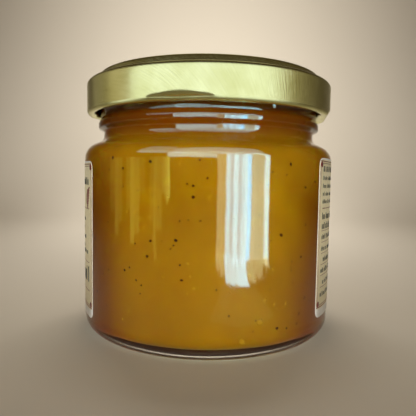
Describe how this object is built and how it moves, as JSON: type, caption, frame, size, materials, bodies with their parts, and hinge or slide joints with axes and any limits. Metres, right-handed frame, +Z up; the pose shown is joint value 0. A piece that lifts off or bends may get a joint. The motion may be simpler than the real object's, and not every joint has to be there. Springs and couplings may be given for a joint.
{
  "type": "fruit spread jar",
  "caption": "Clear glass jar of yellow-orange fruit spread with dark specks, shut by a gold-lacquered twist-off cap, with a paper label wrapped round the back and a clear front.",
  "frame": {"origin": "centre of the foot ring, on the plane that the jar stands on", "axes": "+Z up along the jar's axis; -Y through the gap between the label's ends, which is the side shown; +X to the right of that side"},
  "size_m": [0.0702, 0.0701, 0.0697],
  "materials": {
    "jar_glass": "clear smooth glass",
    "fruit_spread": "wet, slightly see-through fruit spread",
    "lid": "glossy gold lacquer over rolled tinplate",
    "label": "coated cream paper"
  },
  "bodies": {
    "root": {"jar_glass": "jar_glass", "fruit_spread": "fruit_spread", "lid": "lid", "label": "label"}
  },
  "joints": []
}
